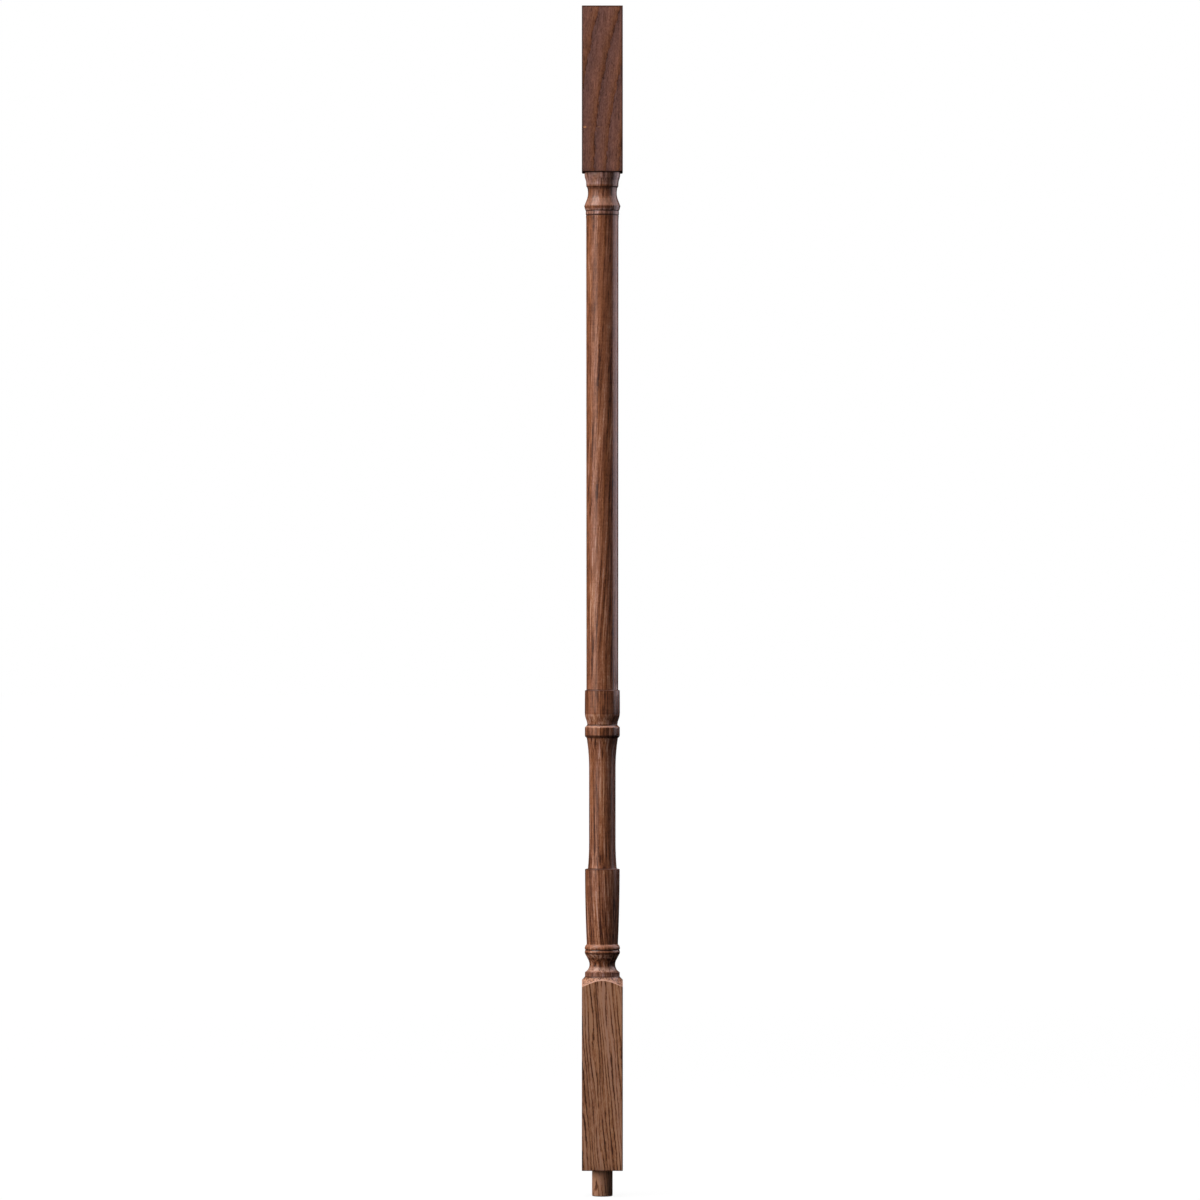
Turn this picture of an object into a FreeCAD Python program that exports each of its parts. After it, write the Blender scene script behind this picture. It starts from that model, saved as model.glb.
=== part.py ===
import FreeCAD, Part
import math
import os
import Sketcher

# A stair baluster: one length of hardwood turned from a square blank.
# The blank keeps its square section in a block at each end. Between the blocks it is turned round,
# and below the lower block it is turned down to a dowel pin that goes into the tread.
# The frame has its origin at the middle of the lower block's end, on the tread, and +Z along the axis.

NODE = "baluster"

# Every driving size: its name, its value in millimetres and what it measures.
# A radius is taken from the axis. A rise or height is taken along the axis.
SIZES = (
    ("blank_width", "31.75", "side of the square blank, one and a quarter inches"),
    ("body_length", "902.6", "from the tread to the top of the upper block"),
    ("arris_radius", "0.8", "rounding of the four long edges"),
    ("turning_clearance", "1", "how far the turning cut runs out past the corners of the blank"),
    ("pin_diameter", "16", "dowel pin across"),
    ("pin_length", "20.6", "dowel pin below the lower block"),
    ("base_block_length", "149.9", "lower block with its hollow shoulder"),
    ("shoulder_rise", "7.8", "height of the hollow shoulder where the turning runs out"),
    ("shoulder_hollow", "30", "radius of the shoulder's hollow"),
    ("base_ring_radius", "13.5", "ring on the lower block"),
    ("base_ring_height", "3.3", "its side"),
    ("base_cove_radius", "10", "waist of the lower cove"),
    ("base_cove_rise", "5.9", "from the ring to the waist"),
    ("base_cove_turn", "3.9", "the curve above the waist"),
    ("base_taper_rise", "4.6", "straight taper from that curve to the lip"),
    ("base_lip_radius", "13.48", "lip at the top of the taper"),
    ("small_bead_radius", "13.66", "crest of the small bead"),
    ("small_bead_foot", "1.1", "from the lip to that crest"),
    ("small_bead_head", "2", "from that crest to the quirk"),
    ("bead_quirk_radius", "13.05", "bottom of the quirk between the two beads"),
    ("large_bead_radius", "13.7", "crest of the large bead"),
    ("large_bead_foot", "0.9", "from the quirk to that crest"),
    ("large_bead_head", "3.3", "from that crest to the vase"),
    ("vase_foot_radius", "12.13", "foot of the vase"),
    ("vase_height", "58.3", "swelling side of the vase"),
    ("vase_rim_radius", "13.45", "rim of the vase"),
    ("vase_shoulder_height", "0.5", "nearly flat shoulder above the rim"),
    ("neck_foot_radius", "11.2", "foot of the neck"),
    ("neck_foot_flare", "19.7", "height of the flare at its foot"),
    ("neck_radius", "10.3", "straight of the neck"),
    ("neck_length", "58.2", "straight of the neck"),
    ("neck_head_flare", "23.3", "height of the flare at its head"),
    ("neck_head_radius", "12.1", "head of the neck"),
    ("collar_foot_radius", "13.2", "lower edge of the collar"),
    ("collar_underside", "1.1", "slope from the neck to that edge"),
    ("collar_round", "1.5", "rounding from that edge to the side"),
    ("collar_radius", "13.55", "collar"),
    ("collar_height", "5.2", "its side"),
    ("collar_chamfer", "2.4", "slope above the collar"),
    ("sleeve_foot_radius", "11.75", "foot of the sleeve"),
    ("sleeve_hollow_rise", "4.2", "hollow half of the sleeve's ogee"),
    ("sleeve_swell_rise", "5.6", "swelling half of the ogee"),
    ("sleeve_belly_radius", "13.65", "widest part of the sleeve"),
    ("sleeve_height", "17", "from the belly to the rim"),
    ("sleeve_rim_radius", "13.5", "rim of the sleeve"),
    ("sleeve_shoulder_height", "0.5", "nearly flat shoulder above the rim"),
    ("column_foot_radius", "12.35", "foot of the long column"),
    ("column_head_radius", "12.53", "head of the long column"),
    ("column_ease_rise", "4.2", "hollow ease between the column and its top edge"),
    ("column_edge_radius", "12.78", "top edge of the column"),
    ("column_quirk_radius", "12.4", "bottom of the quirk above that edge"),
    ("head_ring_radius", "12.86", "ring above that quirk"),
    ("head_ring_height", "2.6", "its side"),
    ("head_quirk_radius", "12.65", "bottom of the quirk above the ring"),
    ("quirk_slope", "0.4", "height of each side of these quirks"),
    ("rim_foot_radius", "13.1", "underside of the spreading rim"),
    ("rim_rise", "3.3", "height of that underside"),
    ("rim_radius", "14.1", "edge of the spreading rim"),
    ("flare_rise", "5.3", "straight taper above the rim"),
    ("flare_turn", "4.8", "the curve from that taper to the waist"),
    ("head_cove_radius", "11.16", "waist of the upper cove"),
    ("head_cove_rise", "4.3", "from the waist to the foot of the lip"),
    ("lip_foot_radius", "11.72", "foot of the lip above the cove"),
    ("lip_foot_rise", "0.8", "slope under the lip"),
    ("head_lip_radius", "12.42", "lip above the cove"),
    ("throat_rise", "2.2", "from the lip to the cap's ogee"),
    ("throat_radius", "12.52", "start of the cap's ogee"),
    ("cap_hollow_rise", "3.6", "hollow half of the cap's ogee"),
    ("cap_swell_rise", "3.6", "swelling half of the ogee"),
    ("cap_radius", "13.85", "cap under the upper block"),
    ("cap_rim_height", "1.5", "straight side of the cap"),
    ("top_block_length", "128.6", "upper block"),
    ("top_shoulder_ease", "0.7", "rounding of the upper block's lower edge"),
)

# The turning cut runs out clear of the blank's corners.
CLEAR_RADIUS = "Sizes.blank_width / sqrt(2) + Sizes.turning_clearance"
SHOULDER_FOOT = "Sizes.base_block_length - Sizes.shoulder_rise"
TOP_SHOULDER = "Sizes.body_length - Sizes.top_block_length"

UP = 1
DOWN = -1
START = 1
END = 2
CENTRE = 3
ACROSS_AXIS = -1
ORIGIN = (ACROSS_AXIS, START)


def make_sheet(document):
    """Put the driving sizes in a sheet, one row each."""
    sheet = document.addObject("Spreadsheet::Sheet", "Sizes")
    for row, (name, value, meaning) in enumerate(SIZES, start=1):
        sheet.set(f"A{row}", name)
        sheet.set(f"B{row}", value)
        sheet.set(f"C{row}", meaning)
        sheet.setAlias(f"B{row}", name)
    document.recompute()
    return sheet


def sketch_on(body, role, name):
    """Start a sketch on one of the body's own origin planes."""
    plane = next(item for item in body.Origin.OriginFeatures if item.Role == role)
    sketch = body.newObject("Sketcher::SketchObject", name)
    sketch.AttachmentSupport = [(plane, "")]
    sketch.MapMode = "FlatFace"
    return sketch


def drive(sketch, kind, places, formula):
    """Add a dimension that follows a formula of the sizes."""
    value = float(sketch.evalExpression(formula))
    index = sketch.addConstraint(Sketcher.Constraint(kind, *places, value))
    sketch.setExpression(f"Constraints[{index}]", formula)


def add_line(sketch, first, last):
    return sketch.addGeometry(Part.LineSegment(FreeCAD.Vector(*first), FreeCAD.Vector(*last)), False)


class Outline:
    """A run of a turned outline, drawn from one end in a sketch whose X is the radius and Y the height.

    Each step names the radius that it reaches and how far it climbs, or comes down. An arc stands
    upright at one end: its centre is level with that end, which is a waist, a crest or a smooth start.
    """

    def __init__(self, sketch, radius, height, way):
        self.sketch = sketch
        self.way = way
        self.point = (self.number(radius), self.number(height))
        self.place_of_start = (radius, height)
        self.first = None
        self.last = None

    def number(self, formula):
        return float(self.sketch.evalExpression(formula))

    def target(self, radius, rise):
        """Where a step ends, from the names of its radius and its rise."""
        return (self.number(f"Sizes.{radius}"), self.point[1] + self.way * self.number(f"Sizes.{rise}"))

    def join(self, start, end, point, smooth=False):
        """Fasten the start of a new piece to the end of the last one, or to its place in the frame."""
        if self.last is None:
            radius, height = self.place_of_start
            drive(self.sketch, "DistanceX", (*ORIGIN, *start), radius)
            drive(self.sketch, "DistanceY", (*ORIGIN, *start), height)
            self.first = start
        else:
            kind = "Tangent" if smooth else "Coincident"
            self.sketch.addConstraint(Sketcher.Constraint(kind, *self.last, *start))
        self.last = end
        self.point = point

    def set_radius(self, formula):
        drive(self.sketch, "DistanceX", (*ORIGIN, *self.last), formula)

    def set_rise(self, start, rise):
        low, high = (start, self.last) if self.way == UP else (self.last, start)
        drive(self.sketch, "DistanceY", (*low, *high), f"Sizes.{rise}")

    def draw_line(self, point, smooth=False):
        piece = add_line(self.sketch, self.point, point)
        self.join((piece, START), (piece, END), point, smooth)
        return (piece, START)

    def draw_arc(self, centre, point, smooth=False):
        """Draw the short arc about a centre. A sketch keeps its arcs counter-clockwise."""
        away = [(x - centre[0], y - centre[1]) for x, y in (self.point, point)]
        angles = [math.atan2(y, x) for x, y in away]
        left_turn = away[0][0] * away[1][1] > away[0][1] * away[1][0]
        middle = FreeCAD.Vector(*centre)
        circle = Part.Circle(middle, FreeCAD.Vector(0, 0, 1), math.hypot(*away[0]))
        arc = Part.ArcOfCircle(circle, *(angles if left_turn else angles[::-1]))
        piece = self.sketch.addGeometry(arc, False)
        start, end = (START, END) if left_turn else (END, START)
        self.join((piece, start), (piece, end), point, smooth)
        return (piece, start)

    def draw_upright_arc(self, point, upright_at, smooth=False):
        """Draw an arc whose centre is level with its start or its end."""
        level, other = (self.point, point) if upright_at == START else (point, self.point)
        across = other[0] - level[0]
        reach = (across**2 + (other[1] - level[1]) ** 2) / (2 * across)
        start = self.draw_arc((level[0] + reach, level[1]), point, smooth)
        held = start if upright_at == START else self.last
        self.sketch.addConstraint(Sketcher.Constraint("Horizontal", start[0], CENTRE, *held))
        return start

    def line(self, radius, rise):
        start = self.draw_line(self.target(radius, rise))
        self.set_radius(f"Sizes.{radius}")
        self.set_rise(start, rise)

    def side(self, rise):
        """A straight side that keeps its radius."""
        start = self.draw_line((self.point[0], self.point[1] + self.way * self.number(f"Sizes.{rise}")))
        self.sketch.addConstraint(Sketcher.Constraint("Vertical", start[0]))
        self.set_rise(start, rise)

    def curve(self, radius, rise, upright_at):
        start = self.draw_upright_arc(self.target(radius, rise), upright_at)
        self.set_radius(f"Sizes.{radius}")
        self.set_rise(start, rise)

    def hollow(self, radius, rise, hollow_radius):
        """A hollow arc of a set radius, which opens outward and upward."""
        point = self.target(radius, rise)
        size = self.number(f"Sizes.{hollow_radius}")
        chord = (point[0] - self.point[0], point[1] - self.point[1])
        length = math.hypot(*chord)
        back = math.sqrt(size**2 - (length / 2) ** 2) / length
        centre = (
            (self.point[0] + point[0]) / 2 + back * chord[1],
            (self.point[1] + point[1]) / 2 - back * chord[0],
        )
        start = self.draw_arc(centre, point)
        drive(self.sketch, "Radius", (start[0],), f"Sizes.{hollow_radius}")
        self.set_radius(f"Sizes.{radius}")
        self.set_rise(start, rise)

    def ogee(self, first_radius, radius, first_rise, last_rise):
        """Two arcs, upright at the outer ends, that meet smoothly on the line between those ends."""
        share = f"Sizes.{first_rise} / (Sizes.{first_rise} + Sizes.{last_rise})"
        middle = f"Sizes.{first_radius} + (Sizes.{radius} - Sizes.{first_radius}) * {share}"
        height = self.point[1] + self.way * self.number(f"Sizes.{first_rise}")
        start = self.draw_upright_arc((self.number(middle), height), START)
        self.set_radius(middle)
        self.set_rise(start, first_rise)
        self.curve(radius, last_rise, END)

    def turn_point(self, waist, far, turn):
        """About where a curve that leaves a waist upright runs on as a straight taper to a far point."""
        whole = abs(far[1] - waist[1])
        across = (far[0] - waist[0]) * turn / (2 * whole - turn)
        return (waist[0] + across, waist[1] + self.way * turn)

    def curve_then_taper(self, turn_rise, radius, taper_rise):
        """A curve that leaves a waist upright and runs on as a straight taper."""
        turn = self.number(f"Sizes.{turn_rise}")
        taper = self.number(f"Sizes.{taper_rise}")
        far = (self.number(f"Sizes.{radius}"), self.point[1] + self.way * (turn + taper))
        start = self.draw_upright_arc(self.turn_point(self.point, far, turn), START)
        self.set_rise(start, turn_rise)
        start = self.draw_line(far, smooth=True)
        self.set_radius(f"Sizes.{radius}")
        self.set_rise(start, taper_rise)


def draw_blank(body):
    """The square section of the blank, about the axis."""
    sketch = sketch_on(body, "XY_Plane", "BlankSection")
    sketch.setExpression("AttachmentOffset.Base.z", "-Sizes.pin_length")
    half = float(sketch.evalExpression("Sizes.blank_width / 2"))
    corners = ((-half, -half), (half, -half), (half, half), (-half, half))
    sides = [add_line(sketch, corners[i], corners[(i + 1) % 4]) for i in range(4)]
    for i, side in enumerate(sides):
        sketch.addConstraint(Sketcher.Constraint("Coincident", side, END, sides[(i + 1) % 4], START))
        sketch.addConstraint(Sketcher.Constraint("Vertical" if i % 2 else "Horizontal", side))
    sketch.addConstraint(Sketcher.Constraint("Equal", sides[0], sides[1]))
    sketch.addConstraint(Sketcher.Constraint("Symmetric", sides[0], START, sides[1], END, *ORIGIN))
    drive(sketch, "DistanceX", (sides[0], START, sides[0], END), "Sizes.blank_width")
    return sketch


def draw_lower_turning(sketch):
    """From the hollow shoulder on the lower block up to the foot of the column."""
    run = Outline(sketch, CLEAR_RADIUS, SHOULDER_FOOT, UP)
    run.hollow("base_ring_radius", "shoulder_rise", "shoulder_hollow")
    run.side("base_ring_height")
    run.curve("base_cove_radius", "base_cove_rise", END)
    run.curve_then_taper("base_cove_turn", "base_lip_radius", "base_taper_rise")
    run.curve("small_bead_radius", "small_bead_foot", END)
    run.curve("bead_quirk_radius", "small_bead_head", START)
    run.curve("large_bead_radius", "large_bead_foot", END)
    run.curve("vase_foot_radius", "large_bead_head", START)
    run.curve("vase_rim_radius", "vase_height", END)
    run.line("neck_foot_radius", "vase_shoulder_height")
    run.curve("neck_radius", "neck_foot_flare", END)
    run.side("neck_length")
    run.curve("neck_head_radius", "neck_head_flare", START)
    run.line("collar_foot_radius", "collar_underside")
    run.curve("collar_radius", "collar_round", END)
    run.side("collar_height")
    run.line("sleeve_foot_radius", "collar_chamfer")
    run.ogee("sleeve_foot_radius", "sleeve_belly_radius", "sleeve_hollow_rise", "sleeve_swell_rise")
    run.curve("sleeve_rim_radius", "sleeve_height", START)
    run.line("column_foot_radius", "sleeve_shoulder_height")
    return run


def draw_upper_turning(sketch):
    """From the square shoulder of the upper block down to the head of the column."""
    run = Outline(sketch, "Sizes.cap_radius", TOP_SHOULDER, DOWN)
    run.side("cap_rim_height")
    run.ogee("cap_radius", "throat_radius", "cap_swell_rise", "cap_hollow_rise")
    run.line("head_lip_radius", "throat_rise")
    run.line("lip_foot_radius", "lip_foot_rise")
    run.curve("head_cove_radius", "head_cove_rise", END)
    run.curve_then_taper("flare_turn", "rim_radius", "flare_rise")
    run.line("rim_foot_radius", "rim_rise")
    run.line("head_quirk_radius", "quirk_slope")
    run.line("head_ring_radius", "quirk_slope")
    run.side("head_ring_height")
    run.line("column_quirk_radius", "quirk_slope")
    run.line("column_edge_radius", "quirk_slope")
    run.curve("column_head_radius", "column_ease_rise", END)
    return run


def draw_turning(body):
    """The closed section that the lathe takes away between the two blocks."""
    sketch = sketch_on(body, "XZ_Plane", "TurnedOutline")
    lower = draw_lower_turning(sketch)
    upper = draw_upper_turning(sketch)
    column = add_line(sketch, lower.point, upper.point)
    sketch.addConstraint(Sketcher.Constraint("Coincident", *lower.last, column, START))
    sketch.addConstraint(Sketcher.Constraint("Coincident", *upper.last, column, END))
    clear = float(sketch.evalExpression(CLEAR_RADIUS))
    top = float(sketch.evalExpression(TOP_SHOULDER))
    foot = float(sketch.evalExpression(SHOULDER_FOOT))
    shoulder = add_line(sketch, (float(sketch.evalExpression("Sizes.cap_radius")), top), (clear, top))
    outside = add_line(sketch, (clear, top), (clear, foot))
    sketch.addConstraint(Sketcher.Constraint("Coincident", *upper.first, shoulder, START))
    sketch.addConstraint(Sketcher.Constraint("Coincident", shoulder, END, outside, START))
    sketch.addConstraint(Sketcher.Constraint("Coincident", outside, END, *lower.first))
    sketch.addConstraint(Sketcher.Constraint("Horizontal", shoulder))
    sketch.addConstraint(Sketcher.Constraint("Vertical", outside))
    return sketch


def draw_pin(body):
    """The closed section that is turned away around the dowel pin."""
    sketch = sketch_on(body, "XZ_Plane", "PinOutline")
    pin = float(sketch.evalExpression("Sizes.pin_diameter / 2"))
    clear = float(sketch.evalExpression(CLEAR_RADIUS))
    length = float(sketch.evalExpression("Sizes.pin_length"))
    corners = ((pin, -length), (clear, -length), (clear, 0), (pin, 0))
    sides = [add_line(sketch, corners[i], corners[(i + 1) % 4]) for i in range(4)]
    for i, side in enumerate(sides):
        sketch.addConstraint(Sketcher.Constraint("Coincident", side, END, sides[(i + 1) % 4], START))
        sketch.addConstraint(Sketcher.Constraint("Vertical" if i % 2 else "Horizontal", side))
    sketch.addConstraint(Sketcher.Constraint("PointOnObject", sides[2], END, ACROSS_AXIS))
    drive(sketch, "DistanceX", (*ORIGIN, sides[2], END), "Sizes.pin_diameter / 2")
    drive(sketch, "DistanceX", (*ORIGIN, sides[2], START), CLEAR_RADIUS)
    drive(sketch, "DistanceY", (sides[0], START, *ORIGIN), "Sizes.pin_length")
    return sketch


def edges_where(feature, wanted):
    """The names of the edges of a feature that pass a test."""
    return [f"Edge{number}" for number, edge in enumerate(feature.Shape.Edges, start=1) if wanted(edge)]


def turn_away(document, body, sketch, name):
    """Cut a closed section all round the axis, and make sure that it took wood away."""
    before = body.Shape.Volume
    groove = body.newObject("PartDesign::Groove", name)
    groove.Profile = sketch
    groove.ReferenceAxis = (sketch, ["V_Axis"])
    groove.Angle = 360
    document.recompute()
    if not body.Shape.Volume < before:
        raise RuntimeError(f"{name} took nothing away")
    return groove


def build_baluster(document):
    """Saw the blank, ease its long edges, turn the middle, turn the pin, then ease the square shoulder."""
    body = document.addObject("PartDesign::Body", "Baluster")
    body.Label = NODE

    blank = body.newObject("PartDesign::Pad", "Blank")
    blank.Profile = draw_blank(body)
    blank.setExpression("Length", "Sizes.body_length + Sizes.pin_length")
    document.recompute()

    arrises = body.newObject("PartDesign::Fillet", "Arrises")
    upright = edges_where(blank, lambda edge: edge.BoundBox.ZLength > edge.Length / 2)
    arrises.Base = (blank, upright)
    arrises.setExpression("Radius", "Sizes.arris_radius")
    document.recompute()

    turn_away(document, body, draw_turning(body), "Turning")
    pin = turn_away(document, body, draw_pin(body), "DowelPin")

    level = float(body.evalExpression(TOP_SHOULDER))
    cap = float(body.evalExpression("Sizes.cap_radius"))

    def on_shoulder_edge(edge):
        flat = math.isclose(edge.BoundBox.ZMin, level, abs_tol=1e-3) and edge.BoundBox.ZLength < 1e-3
        return flat and math.hypot(edge.CenterOfMass.x, edge.CenterOfMass.y) > cap

    ease = body.newObject("PartDesign::Fillet", "ShoulderEase")
    ease.Base = (pin, edges_where(pin, on_shoulder_edge))
    ease.setExpression("Radius", "Sizes.top_shoulder_ease")
    document.recompute()
    return body


def check(document, body):
    """Stop if anything in the document failed, or if the baluster is not one sound solid."""
    for item in document.Objects:
        if "Invalid" in item.State or "Error" in item.State:
            raise RuntimeError(f"{item.Name} failed: {item.State}")
    for item in document.findObjects("Sketcher::SketchObject"):
        if not item.FullyConstrained:
            raise RuntimeError(f"{item.Name} is not fully constrained")
    if body.Shape.isNull() or not body.Shape.isValid() or len(body.Shape.Solids) != 1:
        raise RuntimeError("the baluster is not one sound solid")


def main():
    document = FreeCAD.newDocument("StairBaluster")
    make_sheet(document)
    body = build_baluster(document)
    check(document, body)
    os.makedirs("parts", exist_ok=True)
    body.Shape.exportStep(f"parts/{body.Label}.step")
    box = body.Shape.optimalBoundingBox()
    print(f"{body.Label}: {box.XLength:.2f} x {box.YLength:.2f} x {box.ZLength:.2f} mm")
    print(f"volume {body.Shape.Volume / 1000:.1f} cubic centimetres, {len(body.Shape.Faces)} faces")


main()
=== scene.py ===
# %% [markdown]
# # A turned stair baluster
#
# A baluster is one of the slim posts under a handrail. This one is a single length of hardwood:
# a square blank that was turned round between two square blocks, with a dowel pin turned on its
# lower end. It is stained dark reddish brown and has a satin clear coat.
#
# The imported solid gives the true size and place. This lesson lays a finer skin on the same form,
# gives it a wood that runs through the whole length like real grain, and lights it like a studio.

# %% Load the solid as a fixed frame
import math

import bpy
import numpy as np
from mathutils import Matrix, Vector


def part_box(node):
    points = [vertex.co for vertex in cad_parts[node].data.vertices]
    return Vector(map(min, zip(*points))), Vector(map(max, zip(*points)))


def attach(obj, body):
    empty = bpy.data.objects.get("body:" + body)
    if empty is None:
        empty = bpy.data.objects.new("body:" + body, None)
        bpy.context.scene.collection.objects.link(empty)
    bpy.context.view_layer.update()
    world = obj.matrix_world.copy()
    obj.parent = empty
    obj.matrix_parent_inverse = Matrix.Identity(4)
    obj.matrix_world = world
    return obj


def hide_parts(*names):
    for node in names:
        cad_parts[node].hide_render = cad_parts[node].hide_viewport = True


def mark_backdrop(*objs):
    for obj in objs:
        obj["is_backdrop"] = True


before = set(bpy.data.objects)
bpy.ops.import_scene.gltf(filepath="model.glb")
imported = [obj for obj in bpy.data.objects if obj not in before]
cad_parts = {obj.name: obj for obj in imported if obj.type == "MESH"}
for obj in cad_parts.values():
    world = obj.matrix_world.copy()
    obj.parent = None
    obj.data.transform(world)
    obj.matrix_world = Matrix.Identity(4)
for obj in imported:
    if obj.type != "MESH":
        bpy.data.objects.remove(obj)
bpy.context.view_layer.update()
NODE = "baluster"
MM = 0.001
lowest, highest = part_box(NODE)
PIN_END = lowest.z / MM
TOP_END = highest.z / MM
HALF_WIDTH = highest.x / MM
print(f"The solid is {2 * HALF_WIDTH:.2f} mm square and reaches from {PIN_END:.1f} to {TOP_END:.1f} mm")

# %% [markdown]
# ## The camera
#
# The picture is taken straight on from far away with a long lens, so the square blocks show only
# their front faces. The lens follows from two plain sizes: how far the camera stands off, and how
# tall the picture is at the axis of the wood. Setting it this way is steadier than turning the
# camera by eye.

# %% Put up the camera
CAMERA_DISTANCE = 5.8
CAMERA_LEVEL = 0.44215
CAMERA_SIDE = -0.00182
PICTURE_HEIGHT = 0.9318
SENSOR_MM = 36.0

camera_data = bpy.data.cameras.new("camera")
camera_data.sensor_width = SENSOR_MM
camera_data.lens = SENSOR_MM * CAMERA_DISTANCE / PICTURE_HEIGHT
camera = bpy.data.objects.new("camera", camera_data)
camera.location = (CAMERA_SIDE, -CAMERA_DISTANCE, CAMERA_LEVEL)
camera.rotation_euler = (math.radians(90), 0, 0)
bpy.context.scene.collection.objects.link(camera)
bpy.context.scene.camera = camera
bpy.context.scene.view_settings.view_transform = "Standard"
print(f"The lens is {camera_data.lens:.0f} mm")

# %% [markdown]
# ## The outline that the lathe cuts
#
# A turner thinks of the shape as a row of simple cuts along the axis: a straight side, a slope,
# a cove or a bead. Each cut here goes from the last point to a new radius over a given rise. A
# round cut "stands upright" at one end, which is where a waist or a crest is, so its arc needs no
# other number. The pieces stay apart in a list, because the edges between them are eased later.

# %% The turner's cuts
ARC_STEP = math.radians(6)
LONGEST_STEP = 5.0


class Outline:
    """A run of cuts in millimetres, as pieces of (radius, height) points. It climbs, or goes down."""

    def __init__(self, radius, height, way):
        self.point = (radius, height)
        self.way = way
        self.pieces = []

    def add_piece(self, points):
        self.pieces.append([self.point] + points)
        self.point = points[-1]

    def slope(self, radius, rise):
        """A straight cut, in steps that are short enough for an even mesh."""
        (r, z), count = self.point, math.ceil(rise / LONGEST_STEP)
        steps = [(k + 1) / count for k in range(count)]
        self.add_piece([(r + (radius - r) * s, z + self.way * rise * s) for s in steps])

    def side(self, rise):
        self.slope(self.point[0], rise)

    def arc(self, radius, rise, upright_first):
        """A round cut whose centre is level with its first point or with its last one."""
        start, end = self.point, (radius, self.point[1] + self.way * rise)
        level, other = (start, end) if upright_first else (end, start)
        across = other[0] - level[0]
        reach = (across**2 + rise**2) / (2 * across)
        turn = math.asin(rise / abs(reach))
        count = max(3, math.ceil(turn / ARC_STEP), math.ceil(rise / LONGEST_STEP))
        toward = math.copysign(1, other[1] - level[1])
        points = []
        for k in range(1, count + 1):
            share = k / count if upright_first else 1 - k / count
            angle = turn * share
            points.append((level[0] + reach * (1 - math.cos(angle)),
                           level[1] + toward * abs(reach) * math.sin(angle)))
        self.add_piece(points)

    def ogee(self, radius, first_rise, last_rise):
        """Two arcs, upright at the outer ends, that meet on the line between those ends."""
        middle = self.point[0] + (radius - self.point[0]) * first_rise / (first_rise + last_rise)
        self.arc(middle, first_rise, upright_first=True)
        self.arc(radius, last_rise, upright_first=False)

    def arc_then_slope(self, turn_rise, radius, slope_rise):
        """An arc that leaves a waist upright and runs on as a straight taper."""
        across = radius - self.point[0]
        low, high = 0.0, math.radians(89)
        for _ in range(50):
            angle = (low + high) / 2
            reached = turn_rise * math.tan(angle / 2) + slope_rise * math.tan(angle)
            low, high = (angle, high) if reached < across else (low, angle)
        self.arc(self.point[0] + turn_rise * math.tan(angle / 2), turn_rise, upright_first=True)
        self.slope(radius, slope_rise)


print("The cuts are slope, side, arc, ogee and arc_then_slope")

# %% From the ring on the lower block up to the foot of the column
RING_FOOT = 149.9
RING_RADIUS = 13.5
RIM_SLOPE = 0.5
lower = Outline(RING_RADIUS, RING_FOOT, way=1)
lower.side(rise=3.3)
lower.arc(radius=10.0, rise=5.9, upright_first=False)
lower.arc_then_slope(turn_rise=3.9, radius=13.48, slope_rise=4.6)
lower.arc(radius=13.66, rise=1.1, upright_first=False)
lower.arc(radius=13.05, rise=2.0, upright_first=True)
lower.arc(radius=13.7, rise=0.9, upright_first=False)
lower.arc(radius=12.13, rise=3.3, upright_first=True)
vase_foot = lower.point[1]
lower.arc(radius=13.45, rise=58.3, upright_first=False)
vase_rim = lower.point[1]
lower.slope(radius=11.2, rise=RIM_SLOPE)
lower.arc(radius=10.3, rise=19.7, upright_first=False)
lower.side(rise=58.2)
lower.arc(radius=12.1, rise=23.3, upright_first=True)
collar_foot = lower.point[1]
lower.slope(radius=13.2, rise=1.1)
lower.arc(radius=13.55, rise=1.5, upright_first=False)
lower.side(rise=5.8)
lower.slope(radius=11.75, rise=1.8)
lower.ogee(radius=13.65, first_rise=4.2, last_rise=5.6)
lower.arc(radius=13.5, rise=17.0, upright_first=True)
sleeve_rim = lower.point[1]
lower.slope(radius=12.35, rise=RIM_SLOPE)
print(f"The lower turning has {len(lower.pieces)} cuts and ends at {lower.point[1]:.1f} mm")

# %% From the upper block down to the head of the column
TOP_BLOCK = 128.6
TOP_SHOULDER = TOP_END - TOP_BLOCK
CAP_RADIUS = 13.85
QUIRK_SLOPE = 0.4
upper = Outline(CAP_RADIUS, TOP_SHOULDER, way=-1)
upper.side(rise=1.5)
upper.ogee(radius=12.52, first_rise=3.6, last_rise=3.6)
upper.slope(radius=12.42, rise=2.2)
upper.slope(radius=11.72, rise=0.8)
upper.arc(radius=11.16, rise=4.3, upright_first=False)
upper.arc_then_slope(turn_rise=4.8, radius=14.1, slope_rise=5.3)
upper.slope(radius=13.1, rise=3.3)
upper.slope(radius=12.65, rise=QUIRK_SLOPE)
upper.slope(radius=12.86, rise=QUIRK_SLOPE)
upper.side(rise=2.6)
upper.slope(radius=12.4, rise=QUIRK_SLOPE)
upper.slope(radius=12.78, rise=QUIRK_SLOPE)
upper.arc(radius=12.53, rise=4.2, upright_first=False)
upper.slope(radius=lower.point[0], rise=upper.point[1] - lower.point[1])
print(f"The upper turning has {len(upper.pieces)} cuts, the last of them the long column")

# %% [markdown]
# ## Easing the edges
#
# Sandpaper takes the sharpness off every edge on real wood, and a rendered edge that is perfectly
# sharp looks like cut paper. A bevel modifier would do it on the whole mesh, but the outline is
# still a line here, so each corner is simply swapped for a short curve before anything is turned.

# %% Ease each corner of the turned outline
EASE = 0.3
EASE_SHARE = 0.3
SHARP_TURN = math.radians(10)
EASE_POINTS = 4


def length_of(points):
    return sum(math.dist(a, b) for a, b in zip(points, points[1:]))


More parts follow.
